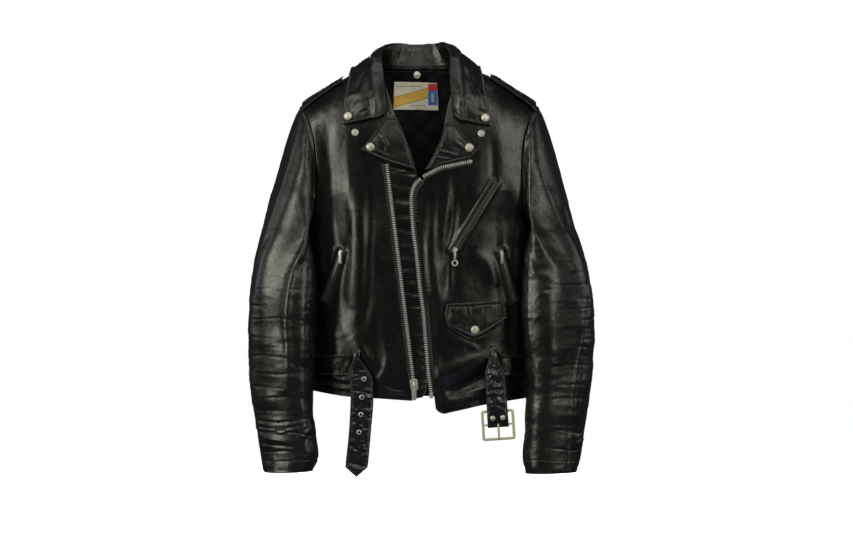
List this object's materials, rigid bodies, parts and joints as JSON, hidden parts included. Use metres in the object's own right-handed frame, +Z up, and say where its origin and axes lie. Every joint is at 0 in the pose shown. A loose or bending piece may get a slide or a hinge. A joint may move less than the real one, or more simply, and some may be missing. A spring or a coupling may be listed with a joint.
{
  "type": "leather riding jacket",
  "caption": "Black leather riding jacket hanging open: asymmetric main zip, snap-down collar and lapels, epaulettes, zip pockets, flapped coin pocket and a belt with a centre-bar buckle.",
  "frame": {"origin": "the hanger point: centre of the neck, mid depth, just below the neck end of the shoulder seams", "axes": "+Z up along the hanging jacket, -Y out of its front, +X towards the wearer's left sleeve"},
  "size_m": [0.6287, 0.1803, 0.7903],
  "materials": {
    "body_leather": "black leather, soft gloss with worn highlights",
    "sleeve_leather": "black leather, creased, soft gloss",
    "collar_leather": "black leather, grained, soft gloss",
    "belt_leather": "black leather, crinkled, glossy",
    "lining_satin": "black quilted satin",
    "pocket_cotton": "black cotton twill",
    "zip_teeth": "bright aluminium teeth on black woven tape",
    "nickel": "polished nickel, lightly worn",
    "buckle_metal": "polished pale nickel-brass",
    "label_weave": "woven cloth label"
  },
  "bodies": {
    "body": {"left_front_panel": "body_leather", "right_front_panel": "body_leather", "back_panel": "body_leather", "storm_flap": "body_leather", "body_lining": "lining_satin", "collar": "collar_leather", "left_zip_stringer": "zip_teeth", "main_zip_right_stringer": "zip_teeth", "chest_zip_teeth": "zip_teeth", "left_hand_zip_teeth": "zip_teeth", "right_hand_zip_teeth": "zip_teeth", "chest_pocket_bag": "pocket_cotton", "left_hand_pocket_bag": "pocket_cotton", "right_hand_pocket_bag": "pocket_cotton", "coin_pocket": "body_leather", "right_body_stud": "nickel", "left_body_stud": "nickel", "right_collar_snap": "nickel", "left_collar_snap": "nickel", "neck_snap": "nickel", "neck_label": "label_weave", "belt_back": "belt_leather", "right_front_belt_loop": "belt_leather", "left_front_belt_loop": "belt_leather", "right_back_belt_loop": "belt_leather", "left_back_belt_loop": "belt_leather"},
    "main_slider": {"main_zip_slider": "nickel"},
    "main_pull": {"main_zip_pull": "nickel"},
    "chest_slider": {"chest_zip_slider": "nickel"},
    "chest_pull": {"chest_zip_pull": "nickel"},
    "left_hand_slider": {"left_hand_zip_slider": "nickel"},
    "left_hand_pull": {"left_hand_zip_pull": "nickel"},
    "right_hand_slider": {"right_hand_zip_slider": "nickel"},
    "right_hand_pull": {"right_hand_zip_pull": "nickel"},
    "coin_flap": {"coin_pocket_flap": "body_leather", "coin_flap_snap": "nickel"},
    "left_lapel_body": {"left_lapel": "collar_leather", "left_zip_stringer_lapel": "collar_leather", "left_lapel_snap": "nickel"},
    "right_lapel_body": {"right_lapel": "collar_leather", "right_lapel_snap": "nickel"},
    "left_epaulette_body": {"left_epaulette": "collar_leather"},
    "right_epaulette_body": {"right_epaulette": "collar_leather"},
    "belt_tail_body": {"belt_tail": "belt_leather"},
    "buckle_strap": {"belt_buckle_strap": "belt_leather", "buckle_rivet_inner": "nickel", "buckle_rivet_outer": "nickel"},
    "buckle": {"buckle_frame": "buckle_metal"},
    "prong": {"buckle_prong": "nickel"},
    "left_arm": {"left_sleeve": "sleeve_leather", "left_sleeve_lining": "lining_satin", "left_cuff_zip_teeth": "zip_teeth"},
    "right_arm": {"right_sleeve": "sleeve_leather", "right_sleeve_lining": "lining_satin", "right_cuff_zip_teeth": "zip_teeth"},
    "left_cuff_slider": {"left_cuff_zip_slider": "nickel"},
    "left_cuff_pull": {"left_cuff_zip_pull": "nickel"},
    "right_cuff_slider": {"right_cuff_zip_slider": "nickel"},
    "right_cuff_pull": {"right_cuff_zip_pull": "nickel"}
  },
  "joints": [
    {"name": "main_zip_slide", "type": "slide", "parent": "body", "child": "main_slider", "axis": [-0.1225, -0.0111, 0.9924], "range_m": [0, 0.38]},
    {"name": "main_pull_swing", "type": "hinge", "parent": "main_slider", "child": "main_pull", "pos_m": [-0.00877, -0.06813, -0.55063], "axis": [-0.9998, 0.02, 0], "range_deg": [0, 120]},
    {"name": "chest_zip_slide", "type": "slide", "parent": "body", "child": "chest_slider", "axis": [0.523, 0.0342, 0.8516], "range_m": [0, 0.135]},
    {"name": "chest_pull_swing", "type": "hinge", "parent": "chest_slider", "child": "chest_pull", "pos_m": [0.06449, -0.07185, -0.30683], "axis": [-0.9931, -0.1173, 0], "range_deg": [0, 120]},
    {"name": "left_hand_zip_slide", "type": "slide", "parent": "body", "child": "left_hand_slider", "axis": [0.2839, 0.1062, -0.953], "range_m": [0, 0.085]},
    {"name": "left_hand_pull_swing", "type": "hinge", "parent": "left_hand_slider", "child": "left_hand_pull", "pos_m": [0.14953, -0.05942, -0.31092], "axis": [-0.9493, -0.3144, 0], "range_deg": [0, 110]},
    {"name": "right_hand_zip_slide", "type": "slide", "parent": "body", "child": "right_hand_slider", "axis": [-0.3379, 0.1148, -0.9342], "range_m": [0, 0.085]},
    {"name": "right_hand_pull_swing", "type": "hinge", "parent": "right_hand_slider", "child": "right_hand_pull", "pos_m": [-0.14169, -0.06153, -0.31083], "axis": [-0.9574, 0.2887, 0], "range_deg": [0, 110]},
    {"name": "coin_flap_open", "type": "hinge", "parent": "body", "child": "coin_flap", "pos_m": [0.05022, -0.07151, -0.40309], "axis": [-0.9914, -0.1206, -0.0512], "range_deg": [0, 115]},
    {"name": "left_lapel_lift", "type": "hinge", "parent": "body", "child": "left_lapel_body", "pos_m": [0.01001, -0.07294, -0.162], "axis": [-0.3889, -0.0182, -0.9211], "range_deg": [0, 85]},
    {"name": "right_lapel_lift", "type": "hinge", "parent": "body", "child": "right_lapel_body", "pos_m": [-0.00601, -0.07295, -0.162], "axis": [-0.3225, 0.0221, 0.9463], "range_deg": [0, 85]},
    {"name": "left_epaulette_lift", "type": "hinge", "parent": "body", "child": "left_epaulette_body", "pos_m": [0.213, -0.005, -0.056], "axis": [0, 1, 0], "range_deg": [0, 60]},
    {"name": "right_epaulette_lift", "type": "hinge", "parent": "body", "child": "right_epaulette_body", "pos_m": [-0.213, -0.005, -0.056], "axis": [0, -1, 0], "range_deg": [0, 60]},
    {"name": "belt_tail_swing", "type": "hinge", "parent": "body", "child": "belt_tail_body", "pos_m": [-0.112, -0.06989, -0.503], "axis": [-1, 0, 0], "range_deg": [0, 45]},
    {"name": "buckle_strap_swing", "type": "hinge", "parent": "body", "child": "buckle_strap", "pos_m": [0.13468, -0.07006, -0.50226], "axis": [-0.9978, 0, -0.0663], "range_deg": [0, 70]},
    {"name": "buckle_turn", "type": "hinge", "parent": "buckle_strap", "child": "buckle", "pos_m": [0.1425, -0.06976, -0.62], "axis": [-0.9978, 0, -0.0663], "range_deg": [0, 45]},
    {"name": "prong_lift", "type": "hinge", "parent": "buckle", "child": "prong", "pos_m": [0.1425, -0.06976, -0.62], "axis": [-0.9978, 0, -0.0663], "range_deg": [0, 62]},
    {"name": "left_sleeve_raise", "type": "hinge", "parent": "body", "child": "left_arm", "pos_m": [0.2135, 0, -0.0415], "axis": [0, -1, 0], "range_deg": [0, 40]},
    {"name": "right_sleeve_raise", "type": "hinge", "parent": "body", "child": "right_arm", "pos_m": [-0.2135, 0, -0.0415], "axis": [0, 1, 0], "range_deg": [0, 40]},
    {"name": "left_cuff_zip_slide", "type": "slide", "parent": "left_arm", "child": "left_cuff_slider", "axis": [0.1023, 0.0517, 0.9934], "range_m": [0, 0.093]},
    {"name": "left_cuff_pull_swing", "type": "hinge", "parent": "left_cuff_slider", "child": "left_cuff_pull", "pos_m": [0.2478, -0.02169, -0.68097], "axis": [0.9964, 0.0852, 0], "range_deg": [0, 110]},
    {"name": "right_cuff_zip_slide", "type": "slide", "parent": "right_arm", "child": "right_cuff_slider", "axis": [-0.1119, 0.0478, 0.9926], "range_m": [0, 0.093]},
    {"name": "right_cuff_pull_swing", "type": "hinge", "parent": "right_cuff_slider", "child": "right_cuff_pull", "pos_m": [-0.24345, -0.02135, -0.67934], "axis": [0.9971, -0.0759, 0], "range_deg": [0, 110]}
  ]
}
